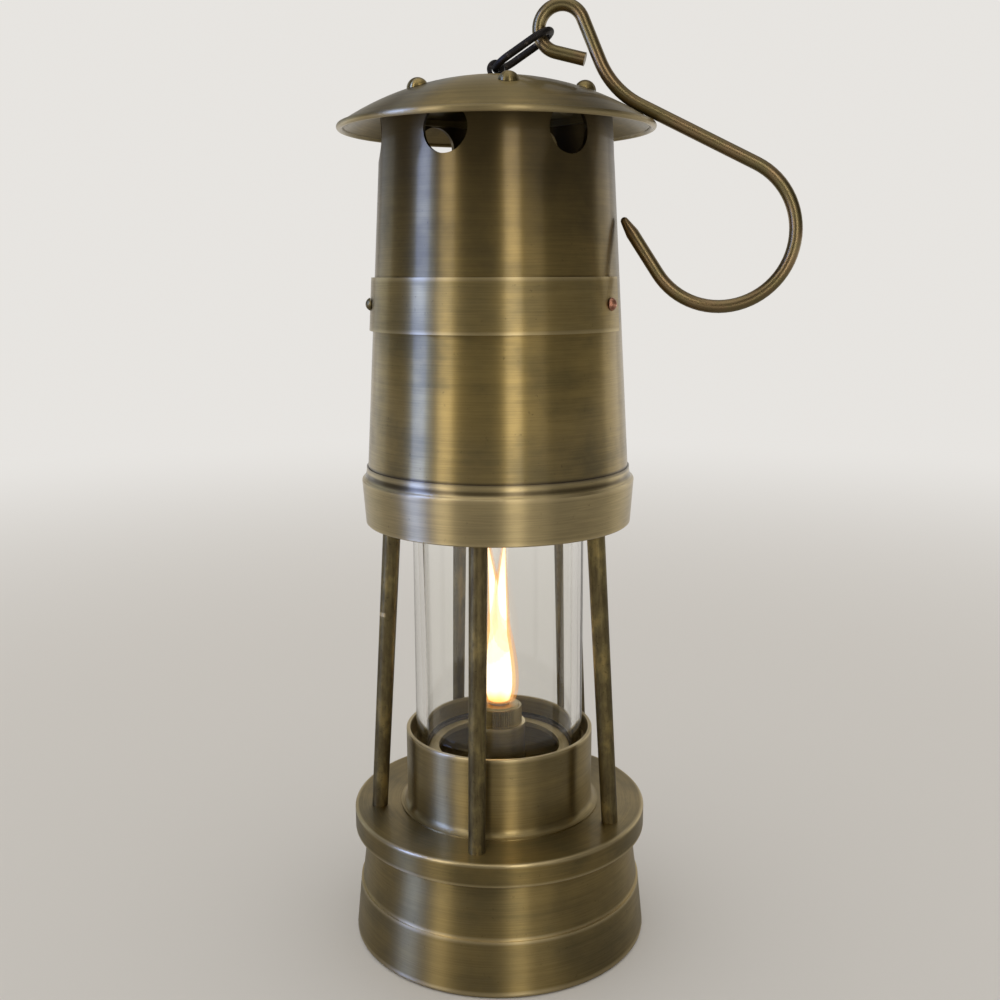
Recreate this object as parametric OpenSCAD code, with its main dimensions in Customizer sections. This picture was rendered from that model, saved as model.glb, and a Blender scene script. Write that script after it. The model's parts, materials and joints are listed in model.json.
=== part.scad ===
// Miners safety lamp: an oil vessel, a five-pillar cage round a glass, and a bonnet with a domed cap,
// a swivel eye, one link and a long hook.
// The origin is the centre of the vessel's underside. Z is up, the bare name band faces -Y and the
// hook lies towards +X. Angles round the lamp are counted from the front (-Y) towards +X.

/* [Oil vessel] */
// Diameter of the vessel at its foot
vessel_foot_d = 88.2; // [86:0.1:94]
// Diameter of the vessel at its upper edge
vessel_top_d = 85.2; // [84.6:0.1:88]
// Height of the vessel's visible wall
vessel_h = 16.4; // [13:0.1:24]
// Thickness of the vessel's sheet
vessel_wall = 1.5; // [1:0.1:2.2]
// Diameter of the neck that screws into the cage
neck_d = 68; // [64:0.5:70]
// Height of the neck above the vessel's shoulder
neck_h = 15.3; // [10:0.1:15.5]

/* [Cage foot] */
// Diameter of the cage's foot ring where it meets the vessel
foot_ring_d = 84.2; // [82:0.1:84.4]
// Diameter of the foot ring under the base plate
foot_ring_top_d = 80; // [77:0.1:83]
// Height of the foot ring
foot_ring_h = 16.8; // [16.5:0.1:24]
// Wall of the foot ring
foot_ring_wall = 2; // [1.5:0.1:2.6]
// Diameter of the base plate
plate_d = 87.8; // [86:0.1:94]
// Thickness of the base plate
plate_t = 6.85; // [6:0.05:9]
// Bore of the base plate
plate_bore = 38; // [34:0.5:46]

/* [Glass seat] */
// Outer diameter of the seat ring
seat_d = 56; // [54.5:0.1:60]
// Height of the seat ring above the base plate
seat_h = 23.4; // [18:0.1:30]
// Wall of the seat ring at its rim
seat_wall = 1.1; // [0.8:0.1:1.3]
// Depth of the ledge below the rim
ledge_drop = 5.3; // [4:0.1:8]
// Thickness of the ledge
ledge_t = 1.5; // [1:0.1:2.5]
// Bore of the ledge, which the burner passes through
ledge_bore = 36.6; // [33:0.1:40]

/* [Glass] */
// Outer diameter of the glass
glass_d = 50; // [48:0.1:51]
// Wall of the glass
glass_wall = 3; // [2:0.1:3.5]
// Thickness of each glass gasket
gasket_t = 0.8; // [0.5:0.1:1.5]

/* [Pillars] */
// Distance of a pillar's foot from the lamp's axis
pillar_foot_reach = 36.5; // [35:0.1:38]
// Distance of a pillar's head from the lamp's axis
pillar_head_reach = 31; // [30.5:0.1:32]
// Diameter of a pillar at its foot
pillar_foot_d = 4.7; // [4.2:0.1:5.6]
// Diameter of a pillar at its head
pillar_head_d = 5.2; // [4.2:0.1:6]
// Height of the open window between the base plate and the collar
window_h = 87; // [70:0.5:110]
// Diameter of the spigots that hold a pillar
spigot_d = 3; // [2.4:0.1:3.6]
// Length of each spigot
spigot_l = 3.6; // [2.5:0.1:4.2]

/* [Collar] */
// Diameter of the collar's lower edge
collar_foot_d = 76.8; // [76.4:0.1:80]
// Diameter of the collar's upper edge
collar_top_d = 78.6; // [78.4:0.1:82]
// Height of the collar's wall
collar_h = 13; // [11:0.1:16]
// Height of the hollow shoulder above the wall
shoulder_h = 3.4; // [2.6:0.1:4.5]
// Depth of the deck above the collar's lower edge
deck_recess = 2; // [1:0.1:3]
// Thickness of the deck that carries the glass, gauze and pillars
deck_t = 5; // [4.8:0.1:6]

/* [Bonnet] */
// Diameter of the bonnet tube at its foot
tube_foot_d = 75.6; // [74.6:0.1:75.6]
// Diameter of the bonnet tube under the cap
tube_top_d = 63.5; // [60:0.1:68]
// Thickness of the bonnet's sheet
sheet = 1.2; // [0.8:0.1:1.5]
// Height of the cap's rim above the collar's lower edge
rim_height = 109.8; // [95:0.1:130]
// Diameter of a vent hole
vent_d = 12.5; // [8:0.5:13]
// Distance from the cap's rim down to the middle of the vents
vent_drop = 3; // [2.8:0.1:12]
// Number of vent holes
vents = 6; // [4:1:8]
// Turn of the first vent from the front
vent_turn = -14.2; // [-30:0.1:30]

/* [Cap] */
// Diameter of the domed cap over its rolled rim
cap_d = 87.8; // [80:0.1:94]
// Rise of the dome above its rim
cap_rise = 12.95; // [9:0.05:16]
// Thickness of the rolled rim
bead_d = 1.8; // [1.6:0.1:2.4]
// Distance of the cap's rivets from the axis
rivet_reach = 26; // [24:0.1:28]
// Number of rivets that hold the cap
rivets = 6; // [4:1:8]
// Turn of the first cap rivet from the front
rivet_turn = -43; // [-60:0.1:60]
// Diameter of a cap rivet's head
rivet_head_d = 5.6; // [4:0.1:6]
// Height of a cap rivet's head
rivet_head_h = 2; // [1.2:0.1:2.4]
// Diameter of a cap rivet's shank
rivet_shank_d = 2.8; // [2:0.1:3]

/* [Name band] */
// Height of the band
band_h = 14.6; // [10:0.1:18]
// Thickness of the band
band_t = 0.9; // [0.6:0.1:1.4]
// Height of the band's lower edge above the collar's lower edge
band_rise = 55; // [35:0.5:75]
// Half of the angle that the band covers
band_half_angle = 77; // [60:1:85]
// Turn of each band rivet from the front
band_rivet_turn = 69; // [50:1:76]
// Diameter of a band rivet's head
band_rivet_d = 3.6; // [2.6:0.1:4.5]

/* [Gauze] */
// Diameter of the gauze at its foot
gauze_foot_d = 40; // [36:0.5:42]
// Diameter of the gauze at its closed top
gauze_top_d = 35; // [30:0.5:40]
// Height of the gauze
gauze_h = 88; // [60:0.5:92]
// Thickness of the gauze
gauze_t = 0.8; // [0.5:0.1:1.2]

/* [Burner] */
// Diameter of the burner tube
burner_d = 15.8; // [13:0.1:18]
// Height of the burner tube's mouth above the glass seat's rim
burner_rise = 1.5; // [-4:0.1:6]
// Diameter of the knurled wick holder
holder_d = 13.7; // [11:0.1:13.8]
// Height of the wick holder above the burner tube
holder_h = 5.7; // [4:0.1:9]
// Number of flutes in the knurl
flutes = 60; // [36:1:72]
// Diameter of the wick
wick_d = 6; // [4:0.1:7]
// Height of wick that stands out of its holder
wick_out = 1.6; // [0.5:0.1:4]

/* [Swivel, link and hook] */
// Wire diameter of the link
link_wire_d = 2; // [1.6:0.1:2.2]
// Distance between the wire centres at the link's two ends
link_pitch = 17.6; // [16:0.1:20]
// Distance between the wire centres across the link
link_width = 10; // [9.2:0.1:12]
// Lean of the resting link from upright
link_lean = 57.8; // [50:0.1:62]
// Wire diameter of the hook
hook_wire_d = 3.6; // [3:0.1:4]
// Radius of the hook's small eye
hook_eye_r = 6.2; // [5.8:0.1:7]
// Turn of the hook's small eye
hook_eye_turn = 232; // [220:1:240]
// Length of the straight stub that closes the eye
stub_l = 8.3; // [5:0.1:8.4]
// Length of the neck between the eye and the reverse bend
neck_l = 12; // [10:0.5:15]
// Radius of the reverse bend
reverse_r = 23.5; // [20:0.5:28]
// Turn of the reverse bend
reverse_turn = 40; // [34:1:44]
// Length of the straight shank
shank_l = 35; // [33:0.5:45]
// Radius of the big loop
loop_r = 20; // [17:0.5:22]
// Turn of the big loop
loop_turn = 210; // [190:1:212]
// Length of the straight point
point_l = 18; // [10:0.5:18.5]

/* [Hidden] */
$fn = 96;

// Segments round a wire
wire_segments = 32;

// Clearances
fit_gap = 0.05;
thread_gap = 0.15;
loose_gap = 0.3;

// Vessel and cage foot
vessel_edge_r = 1.2;
neck_wall = 1.6;
washer_t = foot_ring_h - neck_h;
washer_w = 7;
vessel_shoulder = vessel_h;
neck_top = vessel_shoulder + neck_h;
foot_ring_top = vessel_shoulder + foot_ring_h;
plate_top = foot_ring_top + plate_t;
plate_edge_r = 0.6;
thread_wall = 2.2;
thread_lead = 3.5;

// Glass seat
seat_top = plate_top + seat_h;
ledge_top = seat_top - ledge_drop;
seat_flange_w = 2;
seat_step = 1;

// Collar, deck and glass
collar_foot = plate_top + window_h;
collar_top = collar_foot + collar_h;
shoulder_top = collar_top + shoulder_h;
collar_wall = 1.6;
deck_foot = collar_foot + deck_recess;
deck_top = deck_foot + deck_t;
deck_r = collar_foot_d / 2 - collar_wall - fit_gap;
deck_lip = 1.2;
glass_foot = ledge_top + gasket_t;
glass_top = deck_top - deck_lip - gasket_t;
gasket_lap = 0.6;

// Pillars
lean_slope = (pillar_head_reach - pillar_foot_reach) / window_h;
function pillar_reach(h) = pillar_foot_reach + lean_slope * (h - plate_top);

// Bonnet
rim_z = collar_foot + rim_height;
tube_foot = collar_top - 2;
cap_chord = cap_d / 2 - bead_d / 2;
cap_r = (cap_chord * cap_chord + cap_rise * cap_rise) / (2 * cap_rise);
cap_centre = rim_z + cap_rise - cap_r;
cap_apex = cap_centre + cap_r + sheet / 2;
function cap_under(r) = cap_centre + sqrt(pow(cap_r - sheet / 2, 2) - r * r);
function cap_over(r) = cap_centre + sqrt(pow(cap_r + sheet / 2, 2) - r * r);
tube_top = cap_under(tube_top_d / 2) - fit_gap;
tube_slope = (tube_top_d - tube_foot_d) / 2 / (tube_top - tube_foot);
function tube_r(h) = tube_foot_d / 2 + tube_slope * (h - tube_foot);
vent_z = rim_z - vent_drop;
stay_w = 8.5;
stay_r = tube_r(tube_top) - sheet - fit_gap;
stay_foot = vent_z + vent_d / 2 + 0.2;
rivet_tail_h = 0.8;

// Name band
band_z = collar_foot + band_rise;
band_rivet_head_h = 1.3;
band_shank_d = 2;
// Room that a flat rivet head needs on the tapered, rounded band
band_rivet_stand = 0.15;

// Gauze
gauze_ring_h = 4;
gauze_ring_w = 1.8;
gauze_flange_w = 3;
gauze_flange_t = 1;
gauze_foot = deck_top + gauze_flange_t;

// Burner
burner_wall = 1.9;
burner_top = seat_top + burner_rise;
burner_flange_d = 30;
burner_flange_t = 2.5;
boss_d = 18;
boss_l = 6;
holder_stem_l = 8;
flute_depth = 0.35;
holder_top = burner_top + holder_h;
wick_gap = 0.2;
wick_tail = 4;

// Swivel eye on the cap's apex
eye_bore = link_wire_d + 2 * loose_gap;
eye_wall = 1.1;
eye_t = 2;
eye_lift = 0.1;
eye_boss_h = 0.55;
eye_z = cap_apex + eye_lift + eye_boss_h + eye_bore / 2 + 0.05;
stem_d = 3.2;
stem_head_d = 4.6;
stem_head_t = 0.9;
stem_washer_d = 8;
stem_washer_t = 1;
washer_foot = cap_under(stem_washer_d / 2) - eye_lift - stem_washer_t;
stem_foot = washer_foot - fit_gap;

// Hook placed by its eye, which the link's upper bend holds, and by its shank, which lies on the rim
eye_play = hook_eye_r - hook_wire_d / 2 - loose_gap - link_wire_d / 2;
eye_side = 10;
link_end = [link_pitch * sin(link_lean), eye_z + link_pitch * cos(link_lean)];
hook_eye = link_end + eye_play * [cos(eye_side), sin(eye_side)];
// Drop of the shank's line below the hook's eye, measured square to the shank
shank_drop = reverse_r - (reverse_r + hook_eye_r) * cos(reverse_turn) + neck_l * sin(reverse_turn);
rim_bead = [cap_chord, rim_z];
rest_reach = shank_drop + hook_wire_d / 2 + loose_gap + bead_d / 2;
eye_to_rim = rim_bead - hook_eye;
shank_heading = atan2(eye_to_rim[1], eye_to_rim[0]) + asin(rest_reach / norm(eye_to_rim));
neck_heading = shank_heading - reverse_turn;
point_taper_l = 5;
point_end_d = 2.2;

// Points of a round corner about a centre, from one angle to another
function corner(centre, r, from, to) =
    [for (i = [0:6]) centre + r * [cos(from + (to - from) * i / 6), sin(from + (to - from) * i / 6)]];

// A flat ring, from its inner and outer diameters
module ring(inner_d, outer_d, foot, h) {
    translate([0, 0, foot])
        difference() {
            cylinder(d = outer_d, h = h);
            translate([0, 0, -1])
                cylinder(d = inner_d, h = h + 2);
        }
}

// A place at a distance from the axis, turned from the front
module at_turn(turn, reach, z) {
    rotate([0, 0, turn])
        translate([0, -reach, z])
            children();
}

// A low domed rivet head on z = 0
module rivet_head(d, h) {
    r = (d * d / 4 + h * h) / (2 * h);
    intersection() {
        translate([0, 0, h - r])
            sphere(r = r);
        cylinder(d = d, h = h);
    }
}

// Spun vessel wall and floor, with a rounded foot
module oil_cup() {
    foot_r = vessel_foot_d / 2;
    top_r = vessel_top_d / 2;
    color("darkgoldenrod")
        rotate_extrude()
            polygon(concat(
                [[0, 0]],
                corner([foot_r - vessel_edge_r, vessel_edge_r], vessel_edge_r, -90, 0),
                [[top_r, vessel_h],
                [top_r - vessel_wall, vessel_h],
                [foot_r - vessel_wall - vessel_edge_r, vessel_wall + vessel_edge_r],
                [foot_r - vessel_wall - 2 * vessel_edge_r, vessel_wall],
                [0, vessel_wall]]));
}

// Lid of the vessel, drawn up into the neck, with the burner's hole in the middle
module tank_top() {
    flange_r = vessel_top_d / 2 - vessel_wall - fit_gap;
    neck_r = neck_d / 2;
    color("darkgoldenrod")
        rotate_extrude()
            polygon([
                [boss_d / 2 + fit_gap, neck_top - neck_wall],
                [neck_r - neck_wall, neck_top - neck_wall],
                [neck_r - neck_wall, vessel_shoulder - vessel_wall],
                [flange_r, vessel_shoulder - vessel_wall],
                [flange_r, vessel_shoulder],
                [neck_r, vessel_shoulder],
                [neck_r, neck_top - 0.6],
                [neck_r - 0.6, neck_top],
                [boss_d / 2 + fit_gap, neck_top]]);
}

// Washer that the base plate presses on the neck
module sealing_washer() {
    color("dimgray")
        ring(neck_d - 1.6 - 2 * washer_w, neck_d - 1.6, neck_top, washer_t);
}

// Burner: a boss in the vessel's lid, a flange and a tall tube
module burner_tube() {
    bore_r = burner_d / 2 - burner_wall;
    wick_r = wick_d / 2 + wick_gap;
    color("goldenrod")
        difference() {
            union() {
                translate([0, 0, neck_top - boss_l])
                    cylinder(d = boss_d, h = boss_l);
                translate([0, 0, neck_top])
                    cylinder(d = burner_flange_d, h = burner_flange_t);
                translate([0, 0, neck_top])
                    cylinder(d = burner_d, h = burner_top - neck_top);
            }
            translate([0, 0, neck_top - boss_l - 1])
                cylinder(r = wick_r, h = burner_top);
            translate([0, 0, burner_top - holder_stem_l - fit_gap])
                cylinder(r = bore_r, h = holder_stem_l + 1);
        }
}

// Knurled wick holder, whose stem sits in the burner tube
module wick_holder() {
    stem_r = burner_d / 2 - burner_wall - fit_gap;
    step = 180 / flutes;
    outer = holder_d / 2;
    color("goldenrod")
        difference() {
            union() {
                translate([0, 0, burner_top - holder_stem_l])
                    cylinder(r = stem_r, h = holder_stem_l);
                translate([0, 0, burner_top])
                    linear_extrude(holder_h - 0.6)
                        polygon([for (i = [0:2 * flutes - 1])
                            (outer - (i % 2) * flute_depth) * [cos(i * step), sin(i * step)]]);
                translate([0, 0, holder_top - 0.6])
                    cylinder(r1 = outer - 2 * flute_depth, r2 = outer - 2 * flute_depth - 0.4, h = 0.6);
            }
            translate([0, 0, burner_top - holder_stem_l - 1])
                cylinder(r = wick_d / 2 + wick_gap, h = holder_stem_l + holder_h + 2);
        }
}

// Round cotton wick, from the vessel's floor to above the holder
module wick() {
    foot = vessel_wall + wick_tail;
    color("ivory")
        translate([0, 0, foot])
            cylinder(d = wick_d, h = holder_top + wick_out - foot);
}

// Foot ring: a tapered outer wall and an inner sleeve that the neck screws into
module foot_ring() {
    foot_r = foot_ring_d / 2;
    top_r = foot_ring_top_d / 2;
    sleeve_r = neck_d / 2 + thread_gap;
    web = foot_ring_top - foot_ring_wall;
    color("darkgoldenrod")
        rotate_extrude()
            polygon([
                [sleeve_r, foot_ring_top],
                [sleeve_r, vessel_shoulder + thread_lead],
                [sleeve_r + thread_wall, vessel_shoulder + thread_lead],
                [sleeve_r + thread_wall, web],
                [top_r - foot_ring_wall, web],
                [foot_r - foot_ring_wall, vessel_shoulder],
                [foot_r, vessel_shoulder],
                [top_r, foot_ring_top]]);
}

// Base plate with eased edges and five holes for the pillars' spigots
module base_plate() {
    r = plate_d / 2;
    color("darkgoldenrod")
        difference() {
            rotate_extrude()
                polygon(concat(
                    [[plate_bore / 2, foot_ring_top]],
                    corner([r - plate_edge_r, foot_ring_top + plate_edge_r], plate_edge_r, -90, 0),
                    corner([r - plate_edge_r, plate_top - plate_edge_r], plate_edge_r, 0, 90),
                    [[plate_bore / 2, plate_top]]));
            for (i = [0:4])
                at_turn(72 * i, pillar_foot_reach, plate_top - spigot_l - 0.4)
                    cylinder(d = spigot_d + 2 * fit_gap, h = spigot_l + 2);
        }
}

// Seat ring of the glass, with a small foot flange and a step for the ledge
module glass_seat() {
    outer = seat_d / 2;
    inner = outer - seat_wall;
    color("darkgoldenrod")
        rotate_extrude()
            polygon(concat(
                [[inner - seat_step, plate_top],
                [outer + seat_flange_w, plate_top],
                [outer + seat_flange_w, plate_top + 0.4]],
                corner([outer + seat_flange_w, plate_top + 0.4 + seat_flange_w], seat_flange_w, 270, 180),
                corner([outer - 0.3, seat_top - 0.3], 0.3, 0, 90),
                [[inner, seat_top],
                [inner, ledge_top - ledge_t],
                [inner - seat_step, ledge_top - ledge_t]]));
}

// Ledge that carries the foot of the glass
module glass_ledge() {
    color("goldenrod")
        ring(ledge_bore, seat_d - 2 * seat_wall - 2 * fit_gap, ledge_top - ledge_t, ledge_t);
}

// A fibre ring between the glass and the metal
module gasket(foot) {
    color("dimgray")
        ring(glass_d - 2 * glass_wall - 2 * gasket_lap, glass_d + 2 * fit_gap, foot, gasket_t);
}

module lower_gasket() {
    gasket(ledge_top);
}

module upper_gasket() {
    gasket(glass_top);
}

// Glass cylinder with ground ends
module glass() {
    color("lightcyan", 0.4)
        ring(glass_d - 2 * glass_wall, glass_d, glass_foot, glass_top - glass_foot);
}

// One leaning pillar, cut flat at both ends, with an upright spigot at each end
module pillar(i) {
    extra = 5;
    run = deck_foot - plate_top;
    lean = atan(lean_slope);
    length = (run + 2 * extra) / cos(lean);
    color("saddlebrown")
        rotate([0, 0, 72 * i]) {
            intersection() {
                translate([0, -pillar_reach(plate_top - extra), plate_top - extra])
                    rotate([lean, 0, 0])
                        cylinder(d1 = pillar_foot_d, d2 = pillar_head_d, h = length);
                translate([-20, -60, plate_top])
                    cube([40, 50, run]);
            }
            translate([0, -pillar_foot_reach, plate_top - spigot_l])
                cylinder(d = spigot_d, h = spigot_l + 1);
            translate([0, -pillar_reach(deck_foot), deck_foot - 1])
                cylinder(d = spigot_d, h = spigot_l + 1);
        }
}

// Deck inside the collar: socket for the glass, lip above it and holes for the spigots
module deck() {
    socket_r = glass_d / 2 + 2 * fit_gap;
    lip_r = glass_d / 2 - glass_wall - gasket_lap;
    color("darkgoldenrod")
        difference() {
            rotate_extrude()
                polygon([
                    [socket_r, deck_foot],
                    [deck_r, deck_foot],
                    [deck_r, deck_top],
                    [lip_r, deck_top],
                    [lip_r, deck_top - deck_lip],
                    [socket_r, deck_top - deck_lip]]);
            for (i = [0:4])
                at_turn(72 * i, pillar_reach(deck_foot), deck_foot - 1)
                    cylinder(d = spigot_d + 2 * fit_gap, h = spigot_l + 1.2);
        }
}

// Collar: flared wall, crisp upper edge and a hollow shoulder that closes on the bonnet tube
module collar() {
    foot_r = collar_foot_d / 2;
    top_r = collar_top_d / 2;
    lip_r = tube_r(shoulder_top) + fit_gap;
    seat_r = tube_r(tube_foot) + fit_gap;
    inner_r = foot_r - collar_wall;
    crown_r = lip_r + 0.35;
    color("darkgoldenrod")
        rotate_extrude()
            polygon(concat(
                [[inner_r, collar_foot],
                [foot_r - 0.3, collar_foot],
                [foot_r, collar_foot + 0.3],
                [top_r, collar_top - 0.4],
                [top_r - 0.25, collar_top]],
                [for (i = [1:7])
                    [crown_r + (top_r - 0.25 - crown_r) * (1 - sin(i * 90 / 7)),
                    shoulder_top - shoulder_h * cos(i * 90 / 7)]],
                [[lip_r, shoulder_top],
                [seat_r, tube_foot],
                [inner_r, tube_foot]]));
}

// Brass foot that holds the gauze on the deck
module gauze_ring() {
    outer = gauze_foot_d / 2 + fit_gap;
    color("goldenrod")
        rotate_extrude()
            polygon([
                [outer - 2, deck_top],
                [outer + gauze_flange_w + gauze_ring_w, deck_top],
                [outer + gauze_flange_w + gauze_ring_w, gauze_foot],
                [outer + gauze_ring_w, gauze_foot],
                [outer + gauze_ring_w, gauze_foot + gauze_ring_h],
                [outer + tube_lean_gap(), gauze_foot + gauze_ring_h],
                [outer, gauze_foot],
                [outer - 2, gauze_foot]]);
}

// Room that the gauze's taper leaves at the top of its ring
function tube_lean_gap() = (gauze_top_d - gauze_foot_d) / 2 * gauze_ring_h / gauze_h;

// Wire gauze: a tapered sleeve with a closed top
module gauze() {
    foot_r = gauze_foot_d / 2;
    top_r = gauze_top_d / 2;
    top = gauze_foot + gauze_h;
    color("slategray")
        rotate_extrude()
            polygon([
                [foot_r - gauze_t, gauze_foot],
                [foot_r, gauze_foot],
                [top_r, top - 1.5],
                [top_r - 1.5, top],
                [0, top],
                [0, top - gauze_t],
                [top_r - 1.5 - gauze_t / 2, top - gauze_t],
                [top_r - gauze_t, top - 1.5 - gauze_t / 2]]);
}

// Tapered bonnet tube with its ring of vents
module bonnet_tube() {
    foot_r = tube_foot_d / 2;
    top_r = tube_top_d / 2;
    color("darkgoldenrod")
        difference() {
            rotate_extrude()
                polygon([
                    [foot_r - sheet, tube_foot],
                    [foot_r, tube_foot],
                    [top_r, tube_top],
                    [top_r - sheet, tube_top]]);
            for (i = [0:vents - 1])
                at_turn(vent_turn + 360 / vents * i, tube_r(vent_z) + 2, vent_z)
                    rotate([-90, 0, 0])
                        cylinder(d = vent_d, h = 6);
            for (turn = [-band_rivet_turn, band_rivet_turn])
                at_turn(turn, tube_r(band_z) + 2, band_z + band_h / 2)
                    rotate([-90, 0, 0])
                        cylinder(d = band_shank_d + 2 * fit_gap, h = 6);
        }
}

// Radial rivet places on the dome
module at_cap_rivets(extra) {
    tilt = asin(rivet_reach / (cap_r + sheet / 2));
    for (i = [0:rivets - 1])
        rotate([0, 0, rivet_turn + 360 / rivets * i])
            translate([0, 0, cap_centre])
                rotate([tilt, 0, 0])
                    translate([0, 0, cap_r + sheet / 2 + extra])
                        children();
}

// Domed sheet cap with a rolled rim
module bonnet_cap() {
    color("darkgoldenrod")
        difference() {
            rotate_extrude() {
                intersection() {
                    translate([0, cap_centre])
                        difference() {
                            circle(r = cap_r + sheet / 2);
                            circle(r = cap_r - sheet / 2);
                        }
                    translate([0, rim_z])
                        square([cap_chord, cap_rise + 5]);
                }
                translate([cap_chord, rim_z])
                    circle(d = bead_d);
            }
            at_cap_rivets(-sheet - 1)
                cylinder(d = rivet_shank_d + 2 * fit_gap, h = sheet + 2);
            translate([0, 0, cap_apex - 3])
                cylinder(d = stem_d + 2 * fit_gap, h = 5);
        }
}

// Angle ring inside the bonnet's top: its skirt is in the tube and its flange is riveted to the cap
module cap_stay() {
    under = cap_r - sheet / 2 - fit_gap;
    flange_inner = stay_r - stay_w;
    color("goldenrod")
        difference() {
            rotate_extrude() {
                intersection() {
                    translate([0, cap_centre])
                        difference() {
                            circle(r = under);
                            circle(r = under - sheet);
                        }
                    translate([flange_inner, rim_z - 10])
                        square([stay_w, cap_rise + 20]);
                }
                translate([stay_r - sheet, stay_foot])
                    square([sheet, cap_under(stay_r) - stay_foot - 0.6]);
            }
            at_cap_rivets(-2 * sheet - 1.5)
                cylinder(d = rivet_shank_d + 2 * fit_gap, h = 2 * sheet + 2);
        }
}

// Round-headed rivets of the cap, headed over inside
module cap_rivets() {
    grip = 2 * sheet + 3 * fit_gap;
    color("darkgoldenrod") {
        at_cap_rivets(fit_gap)
            rivet_head(rivet_head_d, rivet_head_h);
        at_cap_rivets(-grip - rivet_tail_h)
            cylinder(d = rivet_shank_d, h = grip + rivet_tail_h + 0.2);
        at_cap_rivets(-grip - rivet_tail_h)
            cylinder(d = rivet_shank_d + 1.4, h = rivet_tail_h);
    }
}

// Bare name band, rolled to the taper of the tube
module name_band() {
    color("goldenrod")
        difference() {
            rotate([0, 0, -90 - band_half_angle])
                rotate_extrude(angle = 2 * band_half_angle)
                    polygon([
                        [tube_r(band_z) + fit_gap, band_z],
                        [tube_r(band_z) + fit_gap + band_t, band_z],
                        [tube_r(band_z + band_h) + fit_gap + band_t, band_z + band_h],
                        [tube_r(band_z + band_h) + fit_gap, band_z + band_h]]);
            for (turn = [-band_rivet_turn, band_rivet_turn])
                at_turn(turn, tube_r(band_z) + 3, band_z + band_h / 2)
                    rotate([-90, 0, 0])
                        cylinder(d = band_shank_d + 2 * fit_gap, h = 6);
        }
}

// Two rivets that hold the band
module band_rivets() {
    face = tube_r(band_z + band_h / 2) + fit_gap + band_t + band_rivet_stand;
    grip = band_rivet_stand + band_t + fit_gap + sheet + band_rivet_stand;
    for (turn = [-band_rivet_turn, band_rivet_turn])
        at_turn(turn, face, band_z + band_h / 2)
            rotate([90, 0, 0])
                color(turn > 0 ? "peru" : "saddlebrown") {
                    rivet_head(band_rivet_d, band_rivet_head_h);
                    translate([0, 0, -grip - 0.3])
                        cylinder(d = band_shank_d, h = grip + 0.6);
                    translate([0, 0, -grip - 0.5])
                        cylinder(d = band_shank_d + 1, h = 0.5);
                }
}

// Low eye on the cap's apex, turning on a stem that is headed over inside
module swivel_eye() {
    boss_foot = cap_apex + eye_lift;
    outer_d = eye_bore + 2 * eye_wall;
    color("dimgray")
        difference() {
            union() {
                intersection() {
                    translate([0, eye_t / 2, eye_z])
                        rotate([90, 0, 0])
                            cylinder(d = outer_d, h = eye_t);
                    translate([-5, -5, boss_foot])
                        cube([10, 10, 10]);
                }
                translate([0, 0, boss_foot])
                    cylinder(d = outer_d, h = eye_boss_h);
                translate([0, 0, stem_foot])
                    cylinder(d = stem_d, h = boss_foot - stem_foot + 0.2);
                translate([0, 0, stem_foot - stem_head_t])
                    cylinder(d = stem_head_d, h = stem_head_t);
            }
            translate([0, eye_t, eye_z])
                rotate([90, 0, 0])
                    cylinder(d = eye_bore, h = 2 * eye_t);
        }
}

// Washer under the cap, held by the headed stem
module swivel_washer() {
    color("gray")
        ring(stem_d + 2 * fit_gap, stem_washer_d, washer_foot, stem_washer_t);
}

// A straight run of wire in the X-Y plane
module wire_run(start, heading, length, d) {
    translate([start[0], start[1], 0])
        rotate([0, 0, heading])
            rotate([0, 90, 0])
                cylinder(d = d, h = length, $fn = wire_segments);
}

// A bend of wire in the X-Y plane, about its centre
module wire_bend(centre, r, from, turn, d) {
    translate([centre[0], centre[1], 0])
        rotate([0, 0, from])
            rotate_extrude(angle = turn, $fn = 2 * wire_segments)
                translate([r, 0])
                    circle(d = d, $fn = wire_segments);
}

// Oval link, from the swivel eye up to the hook's eye
module link() {
    r = link_width / 2;
    straight = link_pitch - link_width;
    color("dimgray")
        translate([0, 0, eye_z])
            rotate([0, link_lean, 0])
                rotate([90, 0, 90]) {
                    wire_bend([0, r], r, 180, 180, link_wire_d);
                    wire_bend([0, r + straight], r, 0, 180, link_wire_d);
                    wire_run([-r, r], 90, straight, link_wire_d);
                    wire_run([r, r], 90, straight, link_wire_d);
                }
}

// Unit vectors along a heading and to its left
function ahead(heading) = [cos(heading), sin(heading)];
function left(heading) = [-sin(heading), cos(heading)];

// Sections of a wire along a bend: place, heading and wire radius of each
function bend_sections(centre, r, side, from, turn, steps) =
    [for (i = [0:steps])
        let (heading = from + side * turn * i / steps)
        [centre - side * r * left(heading), heading, hook_wire_d / 2]];

// Sections of the point: a taper that ends in a round tip
function point_sections(start, heading) =
    let (taper_start = point_l - point_taper_l, tip_r = point_end_d / 2)
    concat(
        [[start + taper_start * ahead(heading), heading, hook_wire_d / 2]],
        [for (i = [0:3])
            let (along = point_l - tip_r * (1 - sin(i * 25)))
            [start + along * ahead(heading), heading, tip_r * cos(i * 25)]]);

// Skin of a wire whose path lies in the X-Z plane
module bent_wire(sections, sides) {
    rings = len(sections);
    points = [for (s = sections)
        for (k = [0:sides - 1])
            let (across = s[0] + s[2] * cos(360 * k / sides) * left(s[1]))
            [across[0], s[2] * sin(360 * k / sides), across[1]]];
    walls = [for (i = [0:rings - 2])
        for (k = [0:sides - 1])
            let (next = (k + 1) % sides)
            each [
                [i * sides + k, i * sides + next, (i + 1) * sides + next],
                [i * sides + k, (i + 1) * sides + next, (i + 1) * sides + k]]];
    first = [for (k = [0:sides - 1]) sides - 1 - k];
    last = [for (k = [0:sides - 1]) (rings - 1) * sides + k];
    polyhedron(points, concat(walls, [first, last]));
}

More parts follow.
